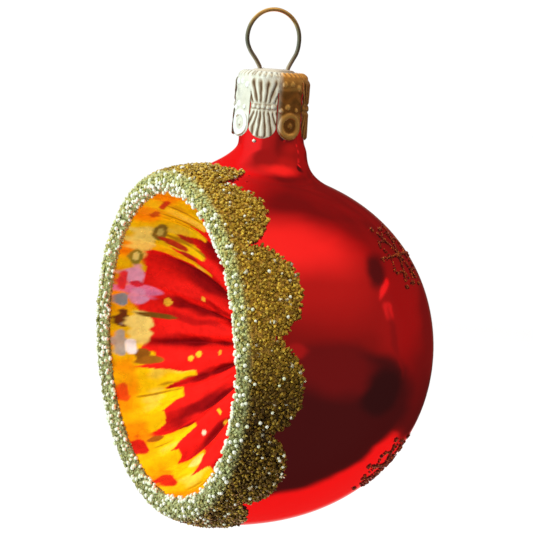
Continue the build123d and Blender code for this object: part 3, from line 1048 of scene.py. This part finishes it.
# What the reflections see, as cards on a dome. Each card is placed by the facing of the surface that shows
# it to the viewer: (across, up), half width, half height, turn in degrees, softness of its edge, colour.
CARDS = (
    ((0.30, -1.24), 0.80, 0.78, 0, 0.10, (1.0, 0.62, 0.58)),  # the table
    ((0.655, -0.555), 0.085, 0.080, 20, 0.12, (1.0, 0.62, 0.58)),
    ((0.14, -0.13), 0.68, 0.67, 0, 0.03, (0.055, 0.045, 0.045)),  # the room in front of it
    ((0.94, -0.47), 0.205, 0.48, 0, 0.18, (0.10, 0.05, 0.04)),
    ((-1.0, 0.05), 0.55, 1.00, 0, 0.30, (0.62, 0.66, 0.62)),
    ((-0.52, 0.05), 0.34, 1.10, 0, 0.25, (0.96, 1.0, 0.96)),  # window at the left
    ((-0.04, 0.00), 0.22, 0.45, 0, 0.45, (0.45, 0.38, 0.30)),
    ((-0.25, 0.85), 0.42, 0.34, 0, 0.30, (1.0, 0.97, 0.90)),
    ((0.55, 0.10), 0.48, 0.42, -12, 0.60, (0.22, 0.11, 0.05)),  # warm wall at the right
    ((0.42, 0.36), 0.34, 0.20, -26, 0.70, (0.46, 0.30, 0.18)),
    ((0.02, 0.45), 0.24, 0.26, 0, 0.45, (0.36, 0.26, 0.18)),
    ((0.33, 0.56), 0.25, 0.115, -26, 0.70, (1.0, 0.80, 0.55)),  # soft box overhead
    ((0.80, 0.14), 0.11, 0.26, 0, 0.45, (0.32, 0.18, 0.11)),
    ((0.47, -0.31), 0.37, 0.29, 12, 0.12, (0.055, 0.045, 0.045)),
    ((0.52, -0.13), 0.14, 0.15, 10, 0.35, (0.14, 0.09, 0.08)),
    ((0.69, -0.27), 0.09, 0.13, -15, 0.25, (0.025, 0.02, 0.02)),
    ((0.69, 0.38), 0.045, 0.10, 10, 0.40, (0.08, 0.05, 0.04)),
    ((0.40, -0.04), 0.030, 0.045, 0, 0.25, (0.34, 0.20, 0.16)),
    ((0.725, 0.29), 0.014, 0.060, -14, 0.30, (1.0, 0.9, 0.8)),
    ((0.740, 0.17), 0.020, 0.045, 10, 0.30, (0.70, 0.6, 0.5)),
    ((0.765, 0.00), 0.012, 0.160, 8, 0.50, (0.24, 0.14, 0.10)),
    ((0.97, 0.10), 0.05, 0.60, 0, 0.50, (0.18, 0.10, 0.07)),
)


def studio_dome():
    """A dome that only reflections see, carrying the cards."""
    back, right, up = view_axes()
    right, up = rolled(right, up)
    n = Nodes("studio_dome")
    place = n.add("ShaderNodeNewGeometry")
    unit = n.vector("NORMALIZE", place.outputs["Position"])
    facing = n.vector("NORMALIZE", n.vector("ADD", unit, back))
    flat = n.add("ShaderNodeCombineXYZ")
    for axis, socket in ((right, "X"), (up, "Y")):
        n.link(n.vector("DOT_PRODUCT", facing, axis), flat.inputs[socket])
    warp = n.add("ShaderNodeTexNoise")
    warp.inputs["Scale"].default_value = 5.0
    n.link(flat.outputs["Vector"], warp.inputs["Vector"])
    nudge = n.vector("MULTIPLY_ADD", warp.outputs["Color"], (0.10, 0.10, 0.0), flat.outputs["Vector"])
    settle = n.vector("SUBTRACT", nudge, (0.05, 0.05, 0.0))
    total = n.ramp(n.noise(2.2, 3), [(0.35, (0.19, 0.13, 0.10)), (0.65, (0.28, 0.18, 0.14))])
    for (across, high), wide, tall, turn, soft, colour in CARDS:
        frame_of_card = n.add("ShaderNodeMapping", vector_type="TEXTURE")
        frame_of_card.inputs["Location"].default_value = (across, high, 0)
        frame_of_card.inputs["Rotation"].default_value = (0, 0, math.radians(turn))
        frame_of_card.inputs["Scale"].default_value = (wide, tall, 1)
        n.link(settle, frame_of_card.inputs["Vector"])
        away = n.vector("LENGTH", frame_of_card.outputs["Vector"])
        edge = n.add("ShaderNodeMapRange", interpolation_type="SMOOTHSTEP")
        edge.inputs["From Min"].default_value = 1 + soft
        edge.inputs["From Max"].default_value = 1 - soft
        n.link(away, edge.inputs["Value"])
        laid = n.add("ShaderNodeMix", data_type="RGBA")
        n.link(edge.outputs["Result"], laid.inputs["Factor"])
        n.link(total, laid.inputs[6])
        laid.inputs[7].default_value = (*colour, 1)
        total = laid.outputs[2]
    glow = n.add("ShaderNodeEmission")
    n.link(total, glow.inputs["Color"])
    n.link(glow.outputs[0], n.tree.nodes["Material Output"].inputs["Surface"])
    bm = bmesh.new()
    bmesh.ops.create_uvsphere(bm, u_segments=64, v_segments=32, radius=DOME_RADIUS)
    mesh = bpy.data.meshes.new("studio_dome")
    bm.to_mesh(mesh)
    bm.free()
    mesh.materials.append(n.material)
    dome = bpy.data.objects.new("studio_dome", mesh)
    scene.collection.objects.link(dome)
    dome.visible_camera = False
    dome.visible_diffuse = False
    dome.visible_transmission = False
    dome.visible_shadow = False


def pale_floor():
    """The floor, which reflections don't see."""
    n = Nodes("pale_floor")
    n.set(Roughness=0.9)
    shade = n.ramp(n.noise(8, 2), [(0.3, (0.996, 0.996, 0.996)), (0.7, (1.0, 1.0, 1.0))])
    n.link(shade, n.shader.inputs["Base Color"])
    corners = [(x * FLOOR_SIZE, y * FLOOR_SIZE, FLOOR_Z) for x, y in ((-1, -1), (1, -1), (1, 1), (-1, 1))]
    mesh = bpy.data.meshes.new("floor")
    mesh.from_pydata(corners, [], [(0, 1, 2, 3)])
    mesh.materials.append(n.material)
    floor = bpy.data.objects.new("floor", mesh)
    scene.collection.objects.link(floor)
    floor.visible_glossy = False


def key_light(direction):
    """A soft square lamp that lights the object from a direction and shows in no reflection."""
    data = bpy.data.lights.new("key", "AREA")
    data.shape = "SQUARE"
    data.size = KEY_SIZE
    data.energy = KEY_POWER
    lamp = bpy.data.objects.new("key", data)
    scene.collection.objects.link(lamp)
    direction = direction.normalized()
    lamp.location = Vector((0, 0, -0.045)) + direction * KEY_DISTANCE
    lamp.rotation_mode = "QUATERNION"
    lamp.rotation_quaternion = direction.to_track_quat("Z", "Y")
    lamp.visible_camera = False
    lamp.visible_glossy = False


def make_stage():
    """White all round, the lamp, the dome for reflections and the floor."""
    world = bpy.data.worlds.new("studio")
    scene.world = world
    world.use_nodes = True
    world.node_tree.nodes["Background"].inputs[0].default_value = (1, 1, 1, 1)
    world.node_tree.nodes["Background"].inputs[1].default_value = 1.03
    back, right, up = view_axes()
    key_light(up * 0.8 - right * 0.55 + back * 0.45)
    studio_dome()
    pale_floor()


make_camera()
glass = lacquered_glass()
body = glass_body(glass)
neck = glass_neck(glass)
reflector_dish(painted_reflector())
glitter_bed(glue())
grains = glitter("border_grains")
border_grains(grains, "glitter_grains_low", 11, 0.20, 0.45, True)
border_grains(grains, "glitter_grains_high", 12, 0.36, 0.35, False)
glass_beads(glass_bead())
tree = BVHTree.FromObject(body, bpy.context.evaluated_depsgraph_get())
amber = glitter("star_grains")
for index in range(4):
    star_grains(amber, tree, index)
cap = crown_cap(stamped_sheet())
wire = wire_hanger(drawn_wire())
for piece in (neck, cap, wire):
    piece.visible_glossy = False  # their images in the top of the body are a tangle of hard lines
make_stage()
